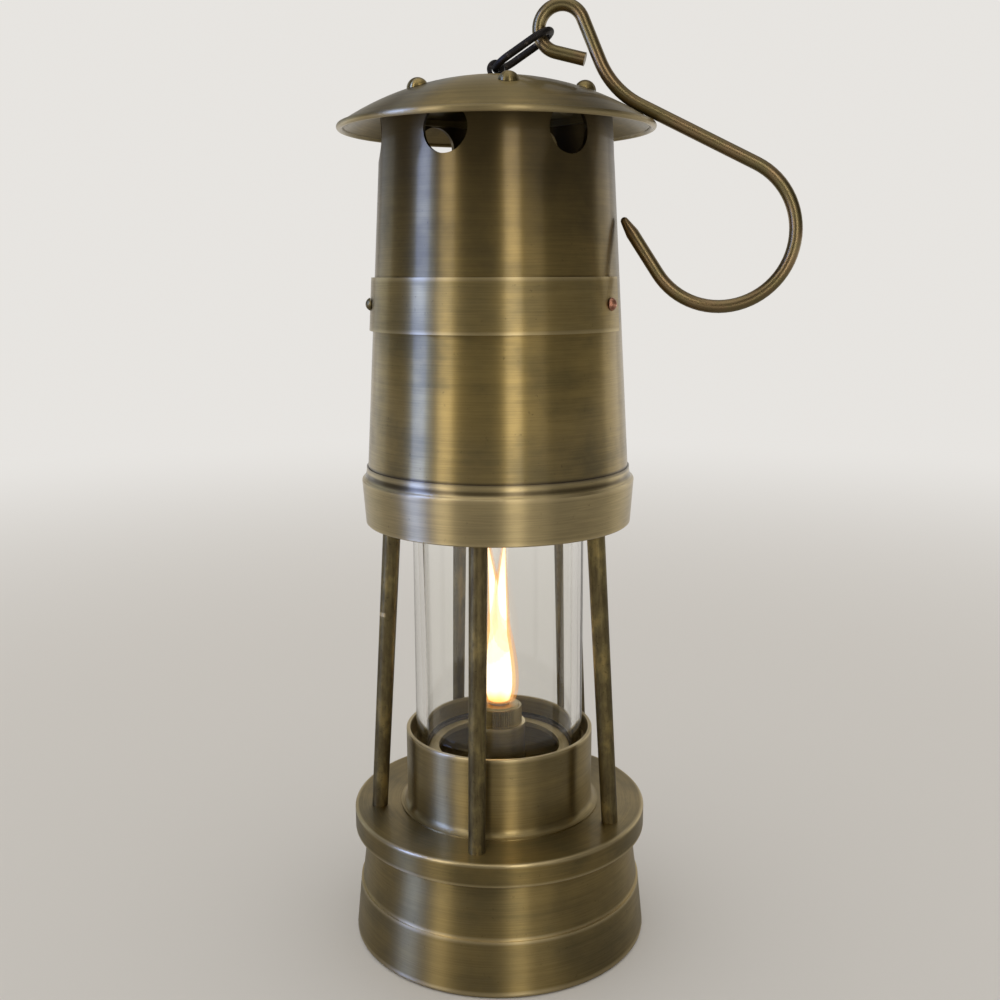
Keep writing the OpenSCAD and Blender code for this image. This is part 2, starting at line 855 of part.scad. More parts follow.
// Long hook bent from one round wire: stub, small eye, neck, reverse bend, shank, big loop and point
module hook() {
    eye_start = neck_heading + hook_eye_turn;
    stub_joint = hook_eye + hook_eye_r * left(eye_start);
    neck_start = hook_eye + hook_eye_r * left(neck_heading);
    reverse_start = neck_start + neck_l * ahead(neck_heading);
    reverse_centre = reverse_start + reverse_r * left(neck_heading);
    shank_start = reverse_centre - reverse_r * left(shank_heading);
    shank_end = shank_start + shank_l * ahead(shank_heading);
    loop_centre = shank_end - loop_r * left(shank_heading);
    point_heading = shank_heading - loop_turn;
    point_start = loop_centre + loop_r * left(point_heading);
    color("darkgoldenrod")
        bent_wire(concat(
            [[stub_joint - stub_l * ahead(eye_start), eye_start, hook_wire_d / 2 - 0.4],
            [stub_joint - (stub_l - 0.4) * ahead(eye_start), eye_start, hook_wire_d / 2]],
            bend_sections(hook_eye, hook_eye_r, -1, eye_start, hook_eye_turn, 22),
            bend_sections(reverse_centre, reverse_r, 1, neck_heading, reverse_turn, 6),
            bend_sections(loop_centre, loop_r, -1, shank_heading, loop_turn, 26),
            point_sections(point_start, point_heading)), 16);
}

oil_cup();
tank_top();
sealing_washer();
burner_tube();
wick_holder();
wick();
foot_ring();
base_plate();
glass_seat();
glass_ledge();
lower_gasket();
glass();
pillar(0);  // pillar_1
pillar(1);  // pillar_2
pillar(2);  // pillar_3
pillar(3);  // pillar_4
pillar(4);  // pillar_5
deck();
upper_gasket();
collar();
gauze_ring();
gauze();
bonnet_tube();
bonnet_cap();
cap_stay();
cap_rivets();
name_band();
band_rivets();
swivel_eye();
swivel_washer();
link();
hook();
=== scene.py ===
"""Looks of a miners safety lamp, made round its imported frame: finishes, hook, flame, camera and stage."""

import json
import math

import bpy
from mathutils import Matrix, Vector


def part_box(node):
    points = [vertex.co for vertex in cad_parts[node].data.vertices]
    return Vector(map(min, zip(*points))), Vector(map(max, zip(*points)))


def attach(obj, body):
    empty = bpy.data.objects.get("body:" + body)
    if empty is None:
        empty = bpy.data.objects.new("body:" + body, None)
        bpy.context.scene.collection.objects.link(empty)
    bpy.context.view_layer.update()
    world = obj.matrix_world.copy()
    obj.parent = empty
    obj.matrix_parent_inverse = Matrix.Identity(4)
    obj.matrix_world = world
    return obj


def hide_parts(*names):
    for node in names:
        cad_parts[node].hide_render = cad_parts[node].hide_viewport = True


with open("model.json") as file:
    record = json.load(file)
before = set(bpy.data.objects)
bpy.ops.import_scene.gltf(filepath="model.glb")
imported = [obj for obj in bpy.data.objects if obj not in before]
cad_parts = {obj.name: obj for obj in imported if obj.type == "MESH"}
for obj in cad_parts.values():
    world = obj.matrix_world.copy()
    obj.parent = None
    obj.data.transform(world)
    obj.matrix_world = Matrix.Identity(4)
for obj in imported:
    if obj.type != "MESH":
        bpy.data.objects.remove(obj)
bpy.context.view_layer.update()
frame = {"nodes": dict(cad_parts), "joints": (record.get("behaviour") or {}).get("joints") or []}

bl_info = {
    "name": "Miners Lamp",
    "version": (1, 0, 0),
    "blender": (4, 5, 0),
    "location": "View3D > Sidebar > Lamp",
    "description": "Finishes, hook, flame and stage of a miners safety lamp",
    "category": "Object",
}

MM = 0.001


def joint_place(name):
    """The point that a joint of the frame turns about."""
    return Vector(next(j["pos_m"] for j in frame["joints"] if j["name"] == name))


class LampStudio(bpy.types.PropertyGroup):
    """Camera, floor and light."""

    view_turn: bpy.props.FloatProperty(
        name="View turn", description="Turn of the camera round the lamp",
        default=math.radians(10), subtype="ANGLE")
    view_distance: bpy.props.FloatProperty(
        name="View distance", description="Distance of the camera from the lamp's axis",
        default=0.34, unit="LENGTH")
    view_height: bpy.props.FloatProperty(
        name="View height", description="Height of the camera above the floor",
        default=0.1976, unit="LENGTH")
    view_tilt: bpy.props.FloatProperty(
        name="View tilt", description="Downward tilt of the camera",
        default=math.radians(10.84), subtype="ANGLE")
    view_pan: bpy.props.FloatProperty(
        name="View pan", description="Turn of the camera to its right",
        default=math.radians(0.14), subtype="ANGLE")
    view_roll: bpy.props.FloatProperty(
        name="View roll", description="Roll of the camera", default=math.radians(0.24), subtype="ANGLE")
    lens: bpy.props.FloatProperty(
        name="Lens", description="Focal length on a 36 mm sensor, in millimetres", default=42.6)
    floor_size: bpy.props.FloatProperty(
        name="Floor", description="Width of the floor", default=12, unit="LENGTH")
    pale: bpy.props.FloatVectorProperty(
        name="Backdrop", description="Colour of the background", default=(0.80, 0.78, 0.75), subtype="COLOR")
    floor_colour: bpy.props.FloatVectorProperty(
        name="Floor colour", description="Colour of the floor", default=(0.72, 0.70, 0.67), subtype="COLOR")
    dim: bpy.props.FloatVectorProperty(
        name="Room", description="Colour of the room behind the camera",
        default=(0.035, 0.032, 0.028), subtype="COLOR")


class LampBrass(bpy.types.PropertyGroup):
    """Colours of the aged brass."""

    body: bpy.props.FloatVectorProperty(
        name="Brass", description="Aged and brushed brass", default=(0.37, 0.27, 0.097), subtype="COLOR")
    patina: bpy.props.FloatVectorProperty(
        name="Patina", description="Dark patina in the brush marks",
        default=(0.072, 0.052, 0.026), subtype="COLOR")
    olive: bpy.props.FloatVectorProperty(
        name="Olive", description="Greenish stain of the patina",
        default=(0.20, 0.160, 0.070), subtype="COLOR")
    # Bright wear colour; on the edge circles it is also a painted highlight.
    wear_highlight: bpy.props.FloatVectorProperty(
        name="Worn edge", description="Brass rubbed bright on the edges",
        default=(0.62, 0.50, 0.27), subtype="COLOR")
    hook: bpy.props.FloatVectorProperty(
        name="Hook", description="Bronze brown of the hook", default=(0.24, 0.165, 0.08), subtype="COLOR")
    copper: bpy.props.FloatVectorProperty(
        name="Copper", description="Copper of one band rivet", default=(0.62, 0.30, 0.20), subtype="COLOR")


class LampHook(bpy.types.PropertyGroup):
    """Sizes of the bent wire hook."""

    wire_d: bpy.props.FloatProperty(
        name="Wire", description="Wire diameter", default=3.6 * MM, unit="LENGTH")
    stub: bpy.props.FloatProperty(
        name="Stub", description="Length of the stub that closes the eye", default=8.3 * MM, unit="LENGTH")
    eye_r: bpy.props.FloatProperty(
        name="Eye", description="Radius of the small eye", default=6.2 * MM, unit="LENGTH")
    eye_turn: bpy.props.FloatProperty(
        name="Eye turn", description="Turn of the small eye", default=math.radians(232), subtype="ANGLE")
    neck: bpy.props.FloatProperty(
        name="Neck", description="Length of the neck", default=12 * MM, unit="LENGTH")
    reverse_r: bpy.props.FloatProperty(
        name="Reverse bend", description="Radius of the reverse bend", default=23.5 * MM, unit="LENGTH")
    reverse_turn: bpy.props.FloatProperty(
        name="Reverse turn", description="Turn of the reverse bend",
        default=math.radians(40), subtype="ANGLE")
    shank: bpy.props.FloatProperty(
        name="Shank", description="Length of the straight shank", default=35 * MM, unit="LENGTH")
    loop_r: bpy.props.FloatProperty(
        name="Loop", description="Radius of the big loop", default=20 * MM, unit="LENGTH")
    loop_turn: bpy.props.FloatProperty(
        name="Loop turn", description="Turn of the big loop", default=math.radians(210), subtype="ANGLE")
    point: bpy.props.FloatProperty(
        name="Point", description="Length of the straight point", default=18 * MM, unit="LENGTH")
    taper: bpy.props.FloatProperty(
        name="Taper", description="Length of the point's taper", default=5 * MM, unit="LENGTH")
    tip_d: bpy.props.FloatProperty(
        name="Tip", description="Diameter at the tip", default=2.2 * MM, unit="LENGTH")
    play: bpy.props.FloatProperty(
        name="Play", description="Gap between the link and the eye", default=0.3 * MM, unit="LENGTH")
    link_wire_d: bpy.props.FloatProperty(
        name="Link wire", description="Wire diameter of the link", default=2 * MM, unit="LENGTH")
    eye_side: bpy.props.FloatProperty(
        name="Eye side", description="Heading from the link's end to the eye's middle",
        default=math.radians(10),
        subtype="ANGLE")


class LampFlame(bpy.types.PropertyGroup):
    """Size and colours of the flame."""

    width: bpy.props.FloatProperty(
        name="Width", description="Widest part of the flame", default=13.4 * MM, unit="LENGTH")
    height: bpy.props.FloatProperty(
        name="Height", description="Height of the flame over the wick", default=52 * MM, unit="LENGTH")
    core: bpy.props.FloatVectorProperty(
        name="Core", description="Colour of the hot core", default=(1.0, 0.93, 0.74), subtype="COLOR")
    inner: bpy.props.FloatVectorProperty(
        name="Inner", description="Colour between the core and the edge",
        default=(1.0, 0.74, 0.30), subtype="COLOR")
    mantle: bpy.props.FloatVectorProperty(
        name="Mantle", description="Colour of the flame's edge", default=(1.0, 0.42, 0.10), subtype="COLOR")


class Value:
    """A shader value that varies over a surface. Arithmetic on it adds Math nodes."""

    def __init__(self, shader, socket):
        self.shader = shader
        self.socket = socket

    def math(self, operation, *inputs):
        made = self.shader.node("ShaderNodeMath", {"operation": operation}, dict(enumerate(inputs)))
        return Value(self.shader, made.outputs[0])

    def __add__(self, other):
        return self.math("ADD", self, other)

    def __radd__(self, other):
        return self.math("ADD", other, self)

    def __sub__(self, other):
        return self.math("SUBTRACT", self, other)

    def __rsub__(self, other):
        return self.math("SUBTRACT", other, self)

    def __mul__(self, other):
        return self.math("MULTIPLY", self, other)

    def __rmul__(self, other):
        return self.math("MULTIPLY", other, self)

    def __truediv__(self, other):
        return self.math("DIVIDE", self, other)

    def __pow__(self, other):
        return self.math("POWER", self, other)

    def __neg__(self):
        return self.math("MULTIPLY", self, -1.0)

    def __abs__(self):
        return self.math("ABSOLUTE", self)

    def root(self):
        return self.math("SQRT", self)

    def highest(self, other):
        return self.math("MAXIMUM", self, other)


class Shader:
    """A node tree under construction."""

    output = "ShaderNodeOutputMaterial"

    def __init__(self, owner):
        owner.use_nodes = True
        self.tree = owner.node_tree
        self.tree.nodes.clear()

    def node(self, kind, settings=None, sockets=None):
        """Adds one node: its settings first, then the values or links of its sockets."""
        made = self.tree.nodes.new(kind)
        for key, setting in (settings or {}).items():
            setattr(made, key, setting)
        for key, value in (sockets or {}).items():
            if isinstance(value, Value):
                self.tree.links.new(value.socket, made.inputs[key])
            else:
                made.inputs[key].default_value = value
        return made

    def value(self, kind, settings=None, sockets=None, output=0):
        """One output of a new node."""
        return Value(self, self.node(kind, settings, sockets).outputs[output])

    def place(self):
        """The three object coordinates, in metres."""
        spot = self.value("ShaderNodeTexCoord", output="Object")
        apart = self.node("ShaderNodeSeparateXYZ", None, {0: spot})
        return [Value(self, apart.outputs[i]) for i in range(3)]

    def point(self, x, y, z):
        return self.value("ShaderNodeCombineXYZ", None, {0: x, 1: y, 2: z})

    def noise(self, place, scale, detail=2.0, roughness=0.5):
        sockets = {"Vector": place, "Scale": scale, "Detail": detail, "Roughness": roughness}
        return self.value("ShaderNodeTexNoise", None, sockets)

    def rise(self, value, low, high):
        """0 up to low, 1 from high on, and eased between them."""
        sockets = {"Value": value, "From Min": low, "From Max": high}
        return self.value("ShaderNodeMapRange", {"interpolation_type": "SMOOTHSTEP"}, sockets)

    def mix(self, share, first, second):
        """A colour between two colours."""
        sockets = {0: share, 6: paint(first), 7: paint(second)}
        return self.value("ShaderNodeMix", {"data_type": "RGBA"}, sockets, output=2)

    def bump(self, height, depth, strength=1.0):
        """A normal tilted by a height of 0 to 1, over a depth in metres."""
        sockets = {"Height": height, "Distance": depth, "Strength": strength}
        return self.value("ShaderNodeBump", None, sockets)

    def mirrored(self):
        """1 for a ray that a surface reflects, and 0 for one that comes straight or through glass."""
        rays = self.node("ShaderNodeLightPath")
        through = Value(self, rays.outputs["Is Transmission Ray"])
        return Value(self, rays.outputs["Is Glossy Ray"]) * (1.0 - through)

    def close(self, surface):
        """Joins the surface to the tree's output."""
        self.node(self.output, None, {"Surface": surface})


def paint(colour):
    """A colour with its alpha, or a shader value as it is."""
    if isinstance(colour, Value):
        return colour
    return (*colour[:3], 1.0)


class Room(Shader):
    """The world under construction."""

    output = "ShaderNodeOutputWorld"


class Finish(Shader):
    """A material under construction, which ends in one principled surface."""

    def __init__(self, name):
        self.material = bpy.data.materials.new(name)
        super().__init__(self.material)

    def surface(self, **sockets):
        """Closes the material. Socket names are written with underscores."""
        named = {}
        for key, value in sockets.items():
            named[key.replace("_", " ").title().replace("Ior", "IOR")] = value
        self.close(self.value("ShaderNodeBsdfPrincipled", None, named))
        return self.material


def brushed_brass(name, highlit_edges=(), dark_circles=(), cap_shade_span=None, polish=0.0, edge_highlight_share=1.0, dark=0.0, rough=0.32):
    """Aged brass, brushed round the lamp.

    Edge circles are rubbed bright and carry a painted highlight, and the dark circles darken toward the
    patina colour, each given as (radius, height). A painted shade of the cap darkens the brass upward
    between the two given heights. Polish and the edge share are shares of the bright wear colour, all
    over and on the edges.
    """
    brass = bpy.context.scene.lamp_brass
    body = Vector(brass.body).lerp(Vector(brass.wear_highlight), polish)
    olive = Vector(brass.olive).lerp(Vector(brass.wear_highlight), polish)
    patina = tuple(brass.patina)
    finish = Finish(name)
    x, y, z = finish.place()
    reach = (x * x + y * y).root()
    ring = finish.point(reach + x * 0.02, y * 0.03, z)
    fine = finish.noise(ring, 3000, 3, 0.6)
    bands = finish.noise(ring, 620, 2, 0.5)
    cloud = finish.noise(finish.point(x, y, z * 1.3), 40, 4, 0.6)
    specks = finish.noise(finish.point(x, y, z), 700, 3, 0.7)
    stain = finish.rise(cloud * 0.88 + bands * 0.12 + dark, 0.38, 0.70)
    streak = finish.rise(fine * 0.8 + bands * 0.2, 0.36, 0.64)
    colour = finish.mix(stain * 0.8, tuple(body), tuple(olive))
    colour = finish.mix(streak * 0.2 + dark, colour, patina)
    colour = finish.mix(finish.rise(specks, 0.64, 0.74) * 0.35, colour, patina)
    # Painted shade of the cap: the brass darkens toward the patina colour upward under the cap.
    if cap_shade_span:
        cap_shade = finish.rise(z + (cloud - 0.5) * (20 * MM), *cap_shade_span)
        colour = finish.mix(cap_shade * 0.85, colour, patina)
    # Darker toward the patina colour on the given circles.
    if dark_circles:
        darkened = near_circles(finish, reach, z, dark_circles, bands, 0.9 * MM)
        colour = finish.mix(darkened * 0.85, colour, patina)
    # Edge circles: rubbed bright, with a painted highlight along them.
    if highlit_edges:
        rubbed_highlight = near_circles(finish, reach, z, highlit_edges, bands, 1.1 * MM)
        colour = finish.mix(rubbed_highlight * edge_highlight_share, colour, tuple(brass.wear_highlight))
    return finish.surface(
        base_color=colour, metallic=1.0, roughness=rough + fine * 0.07 + stain * 0.07,
        normal=finish.bump(fine, 0.015 * MM, 0.3), anisotropic=0.9, anisotropic_rotation=0.25,
        coat_weight=0.25, coat_roughness=0.12)


def near_circles(finish, reach, z, circles, noise, width):
    """1 on circles round the lamp's axis and 0 further off than about their width."""
    found = None
    for radius, height in circles:
        away = ((reach - radius) ** 2.0 + (z - height) ** 2.0).root()
        near = 1.0 - finish.rise(away - (noise - 0.5) * MM, 0.2 * width, 1.2 * width)
        found = near if found is None else found.highest(near)
    return found


def streaked_brass(name, nick=None):
    """Dark drawn rod with streaks along it. A nick is the (x, height) of a pale ring round one rod."""
    brass = bpy.context.scene.lamp_brass
    finish = Finish(name)
    x, y, z = finish.place()
    streaks = finish.noise(finish.point(x, y, z * 0.12), 1500, 3, 0.6)
    blotch = finish.noise(finish.point(x, y, z * 0.6), 160, 4, 0.65)
    pits = finish.noise(finish.point(x, y, z), 1300, 2, 0.6)
    shade = finish.rise(streaks * 0.4 + blotch * 0.6, 0.36, 0.62)
    colour = finish.mix(shade * 0.7 + 0.25, tuple(brass.patina), tuple(brass.olive))
    colour = finish.mix(finish.rise(blotch, 0.50, 0.68) * 0.5, colour, tuple(brass.body))
    colour = finish.mix(finish.rise(pits, 0.62, 0.72) * 0.5, colour, (0.03, 0.022, 0.014))
    if nick:
        ring = 1.0 - finish.rise(abs(z - nick[1]), 0.35 * MM, 0.8 * MM)
        colour = finish.mix(ring * finish.rise(nick[0] - x, 0.0, 1.0 * MM) * 0.8, colour, tuple(brass.wear_highlight))
    return finish.surface(
        base_color=colour, metallic=0.9, roughness=0.36 + blotch * 0.16,
        normal=finish.bump(streaks * 0.6 + pits * 0.4, 0.04 * MM, 0.6))


def rivet_copper(name):
    """Band rivets: copper on the right and dark brass on the left."""
    brass = bpy.context.scene.lamp_brass
    finish = Finish(name)
    x, y, z = finish.place()
    tarnish = finish.noise(finish.point(x, y, z), 700, 3, 0.6)
    shade = finish.rise(tarnish, 0.35, 0.7)
    bright = finish.mix(shade, tuple(brass.copper), (0.30, 0.13, 0.08))
    dull = finish.mix(shade, tuple(brass.olive), tuple(brass.patina))
    return finish.surface(
        base_color=finish.mix(finish.rise(x, 0.0, MM), dull, bright), metallic=0.95,
        roughness=0.30 + tarnish * 0.15, normal=finish.bump(tarnish, 0.03 * MM, 0.4))


def dress(material, slot, *nodes):
    """Gives CAD nodes a finish."""
    for name in nodes:
        piece = frame["nodes"][name]
        piece.data.materials.clear()
        piece.data.materials.append(material)


def deselect():
    if bpy.context.object and bpy.context.object.mode != "OBJECT":
        bpy.ops.object.mode_set(mode="OBJECT")
    bpy.ops.object.select_all(action="DESELECT")


class LAMP_OT_studio(bpy.types.Operator):
    """Camera, floor, backdrop and soft lights"""

    bl_idname = "lamp.studio"
    bl_label = "Studio"

    def execute(self, context):
        studio = context.scene.lamp_studio
        self.camera(context, studio)
        self.floor(studio)
        self.world(context, studio)
        self.lights()
        context.scene.view_settings.view_transform = "Standard"
        return {"FINISHED"}

    def camera(self, context, studio):
        turn = studio.view_turn
        place = Vector((studio.view_distance * math.sin(turn), -studio.view_distance * math.cos(turn),
                        studio.view_height))
        bpy.ops.object.camera_add(location=place)
        camera = context.object
        camera.name = "camera"
        camera.rotation_mode = "XYZ"
        camera.rotation_euler = (math.pi / 2 - studio.view_tilt, studio.view_roll, turn - studio.view_pan)
        camera.data.lens = studio.lens
        camera.data.sensor_width = 36
        camera.data.clip_start = 0.01
        camera.data.clip_end = 100
        context.scene.camera = camera

    def floor(self, studio):
        deselect()
        bpy.ops.mesh.primitive_plane_add(size=studio.floor_size, location=(0, 0, 0))
        floor = bpy.context.object
        floor.name = "floor"
        finish = Finish("floor")
        x, y, z = finish.place()
        far = finish.rise((x * x + y * y).root(), 0.25, 1.1)
        dimmed = tuple(0.5 * part for part in studio.floor_colour)
        tone = finish.mix(finish.mirrored(), tuple(studio.floor_colour), dimmed)
        ground = finish.value("ShaderNodeBsdfDiffuse", None, {"Color": tone})
        sky = finish.value("ShaderNodeEmission", None, {"Color": paint(studio.pale)})
        finish.close(finish.value("ShaderNodeMixShader", None, {0: far, 1: ground, 2: sky}))
        floor.data.materials.append(finish.material)

    def world(self, context, studio):
        context.scene.world = bpy.data.worlds.new("room")
        room = Room(context.scene.world)
        towards = room.value("ShaderNodeTexCoord", output="Generated")
        apart = room.node("ShaderNodeSeparateXYZ", None, {0: towards})
        back = room.rise(Value(room, apart.outputs["Y"]), 0.60, 0.95)
        above = room.rise(Value(room, apart.outputs["Z"]), 0.55, 1.0)
        glow = room.mix(back.highest(above) * 0.7, tuple(studio.dim), tuple(studio.pale))
        colour = room.mix(room.mirrored(), tuple(studio.pale), glow)
        room.close(room.value("ShaderNodeBackground", None, {"Color": colour, "Strength": 1.0}))

    def lights(self):
        self.softbox("cool_window", turn=-62, width=0.26, radiance=8.5, colour=(0.24, 0.37, 1.0))
        self.softbox("warm_left", turn=-36, width=0.24, radiance=2.6, colour=(1.0, 0.95, 0.88))
        self.softbox("warm_front", turn=24, width=0.24, radiance=3.0, colour=(1.0, 0.95, 0.88))
        self.softbox("front_fill", turn=44, width=0.30, radiance=0.5, colour=(1.0, 0.96, 0.90))
        self.softbox("right_wall", turn=132, width=0.50, radiance=0.5, colour=(1.0, 0.98, 0.95))
        self.softbox("left_wall", turn=-118, width=0.50, radiance=0.45, colour=(0.75, 0.86, 1.0))
        self.softbox("top", turn=-20, width=0.8, radiance=0.5, colour=(1.0, 0.98, 0.95), lift=75)

    def softbox(self, name, turn, width, radiance, colour, lift=12, height=1.2, distance=1.0):
        """An area light that looks at the middle of the lamp."""
        aim = Vector((0, 0, 0.13))
        side, rise = math.radians(turn), math.radians(lift)
        back = Vector((math.sin(side) * math.cos(rise), -math.cos(side) * math.cos(rise), math.sin(rise)))
        bpy.ops.object.light_add(type="AREA", location=aim + back * distance)
        light = bpy.context.object
        light.name = name
        light.rotation_euler = (-back).to_track_quat("-Z", "Y").to_euler()
        light.data.shape = "RECTANGLE"
        light.data.size = width
        light.data.size_y = height
        light.data.energy = radiance * math.pi * width * height
        light.visible_diffuse = False
        light.visible_transmission = False
        light.data.color = colour


class LAMP_OT_vessel(bpy.types.Operator):
    """Finish of the oil vessel and its lid"""

    bl_idname = "lamp.vessel"
    bl_label = "Oil vessel"

    def execute(self, context):
        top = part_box("oil_cup")[1]
        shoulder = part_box("foot_ring")[0][2]
        # The edge circles are rubbed bright and carry a painted highlight.
        highlit_edges = [(top[0], 1.2 * MM), (top[0] - 1.5 * MM, shoulder)]
        dress(brushed_brass("vessel_brass", highlit_edges, polish=0.12), "brass", "oil_cup", "tank_top")
        return {"FINISHED"}


class LAMP_OT_cage(bpy.types.Operator):
    """Finish of the cage: foot ring, plate, glass seat, deck and collar"""

    bl_idname = "lamp.cage"
    bl_label = "Cage"

    def execute(self, context):
        # The edge circles in this step are rubbed bright and carry a painted highlight.
        low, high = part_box("foot_ring")
        dress(brushed_brass("foot_ring_brass", [(high[0], low[2])], polish=0.08), "brass", "foot_ring")
        low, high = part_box("base_plate")
        highlit_edges = [(high[0], high[2]), (high[0], low[2])]
        dress(brushed_brass("plate_brass", highlit_edges, dark=0.05), "brass", "base_plate")
        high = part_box("glass_seat")[1]
        highlit_edges = [(high[0] - 2 * MM, high[2]), (high[0] - 3.1 * MM, high[2])]
        dress(brushed_brass("seat_brass", highlit_edges, polish=0.2), "brass", "glass_seat")
        ledge = brushed_brass("ledge_brass", polish=0.6, rough=0.36)
        dress(ledge, "brass_bright", "glass_ledge", "gauze_ring")
        low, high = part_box("collar")
        highlit_edges = [(high[0], high[2] - 3.6 * MM), (high[0] - 0.9 * MM, low[2])]
        dark_circles = [(37.4 * MM, high[2]), (high[0] - 0.8 * MM, high[2] - 2 * MM)]
        dress(brushed_brass("collar_brass", highlit_edges, dark_circles, polish=0.7), "brass", "collar", "deck")
        return {"FINISHED"}


class LAMP_OT_bonnet(bpy.types.Operator):
    """Finish of the bonnet: tube, cap, stay, rivets and name band"""

    bl_idname = "lamp.bonnet"
    bl_label = "Bonnet"

    def execute(self, context):
        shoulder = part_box("collar")[1]
        dark_circles = [(shoulder[0] - 1.9 * MM, shoulder[2])]
        low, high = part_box("bonnet_tube")
        # Painted shade of the cap over the tube's upper part.
        cap_shade_span = (low[2] + 0.3 * (high[2] - low[2]), high[2])
        dress(brushed_brass("tube_brass", dark_circles=dark_circles, cap_shade_span=cap_shade_span), "brass", "bonnet_tube")
        # The edge circles of the cap and the band are rubbed bright and carry a painted highlight.
        low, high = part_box("bonnet_cap")
        highlit_edges = [(high[0] - 0.5 * MM, low[2] + 0.5 * MM)]
        dress(brushed_brass("cap_brass", highlit_edges, edge_highlight_share=0.7, dark=0.12, rough=0.36), "brass", "bonnet_cap")
        dress(brushed_brass("stay_brass", dark=0.1, rough=0.4), "brass_dark", "cap_stay")
        dress(brushed_brass("rivet_brass", dark=0.06, rough=0.26), "brass_dark", "cap_rivets")
        low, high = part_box("name_band")
        highlit_edges = [(-low[1] - 0.2 * MM, low[2]), (-low[1] - 0.9 * MM, high[2])]
        dress(brushed_brass("band_brass", highlit_edges, edge_highlight_share=0.55, polish=0.1), "brass_bright", "name_band")
        dress(rivet_copper("band_rivet_metal"), "copper", "band_rivets")
        return {"FINISHED"}


class LAMP_OT_pillars(bpy.types.Operator):
    """Dark streaky finish of the five pillars"""

    bl_idname = "lamp.pillars"
    bl_label = "Pillars"

    def execute(self, context):
        names = [f"pillar_{i}" for i in range(1, 5)]
        dress(streaked_brass("pillar_brass"), "brass_dark", *names)
        low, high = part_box("pillar_5")
        nick = (0.5 * (low[0] + high[0]) + MM, 99.7 * MM)
        dress(streaked_brass("nicked_pillar_brass", nick), "brass_dark", "pillar_5")
        return {"FINISHED"}


class LAMP_OT_glass(bpy.types.Operator):
    """Clear glass and its gaskets"""

    bl_idname = "lamp.glass"
    bl_label = "Glass"

    def execute(self, context):
        finish = Finish("lamp_glass")
        x, y, z = finish.place()
        film = finish.noise(finish.point(x, y, z * 0.4), 120, 3, 0.6)
        colour = finish.mix(finish.rise(film, 0.45, 0.8) * 0.15, (1.0, 1.0, 0.985), (0.90, 0.91, 0.86))
        material = finish.surface(
            base_color=colour, roughness=0.01 + finish.rise(film, 0.5, 0.9) * 0.05,
            transmission_weight=1.0, ior=1.47)
        dress(material, "glass", "glass")
        gasket = Finish("gasket_fibre")
        x, y, z = gasket.place()
        grain = gasket.noise(gasket.point(x, y, z), 1800, 3, 0.7)
        colour = gasket.mix(grain, (0.03, 0.026, 0.022), (0.11, 0.09, 0.07))
        material = gasket.surface(
            base_color=colour, roughness=0.8 + grain * 0.1, normal=gasket.bump(grain, 0.05 * MM, 0.5))
        dress(material, "gasket", "lower_gasket", "upper_gasket", "sealing_washer")
        return {"FINISHED"}


class LAMP_OT_burner(bpy.types.Operator):
    """Burner tube, knurled holder and cotton wick"""

    bl_idname = "lamp.burner"
    bl_label = "Burner"

    def execute(self, context):
        # The rim's edge circle is rubbed bright and carries a painted highlight.
        rim_r = 7.9 * MM
        highlit_edges = [(rim_r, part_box("burner_tube")[1][2])]
        dress(brushed_brass("burner_brass", highlit_edges, polish=0.4, rough=0.26), "brass_bright", "burner_tube")
        dress(brushed_brass("holder_brass", polish=0.3, rough=0.34), "brass_bright", "wick_holder")
        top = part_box("wick")[1][2]
        finish = Finish("wick_cotton")
        x, y, z = finish.place()
        yarn = finish.noise(finish.point(x, y, z * 0.5), 1500, 3, 0.6)
        char = finish.rise(z + (yarn - 0.5) * MM, top - 2.2 * MM, top - 0.6 * MM)
        colour = finish.mix(yarn, (0.50, 0.44, 0.33), (0.80, 0.74, 0.60))
        colour = finish.mix(char, colour, (0.012, 0.010, 0.009))
        material = finish.surface(base_color=colour, roughness=0.9, normal=finish.bump(yarn, 0.2 * MM, 0.6))
        dress(material, "wick", "wick")
        return {"FINISHED"}


class LAMP_OT_gauze(bpy.types.Operator):
    """Fine wire gauze"""

    bl_idname = "lamp.gauze"
    bl_label = "Gauze"

    def execute(self, context):
        finish = Finish("gauze_wire")
        x, y, z = finish.place()
        turn = x.math("ARCTAN2", x, y)
        warp = abs((turn * 64.0).math("SINE", turn * 64.0))
        weft = abs((z * (math.pi / (0.9 * MM))).math("SINE", z * (math.pi / (0.9 * MM))))
        wire = finish.rise(warp.highest(weft), 0.55, 0.8)
        # Between the wires the colour is near black: painted shade for the dark inside seen through the
        # mesh.
        colour = finish.mix(wire, (0.02, 0.02, 0.018), (0.20, 0.19, 0.17))
        material = finish.surface(
            base_color=colour, metallic=0.8, roughness=0.5, normal=finish.bump(wire, 0.2 * MM, 0.8))
        dress(material, "gauze", "gauze")
        return {"FINISHED"}


class LAMP_OT_chain(bpy.types.Operator):
    """Blackened iron swivel eye, washer and link"""

    bl_idname = "lamp.chain"
    bl_label = "Swivel and link"

    def execute(self, context):
        finish = Finish("black_iron")
        x, y, z = finish.place()
        scale = finish.noise(finish.point(x, y, z), 420, 4, 0.65)
        rubbed_highlight = finish.rise(scale, 0.55, 0.72)
        colour = finish.mix(rubbed_highlight, (0.022, 0.019, 0.017), (0.14, 0.115, 0.09))
        material = finish.surface(
            base_color=colour, metallic=0.85, roughness=0.42 + scale * 0.2,
            normal=finish.bump(scale, 0.06 * MM, 0.6))
        dress(material, "iron", "swivel_eye", "swivel_washer", "link")
        return {"FINISHED"}


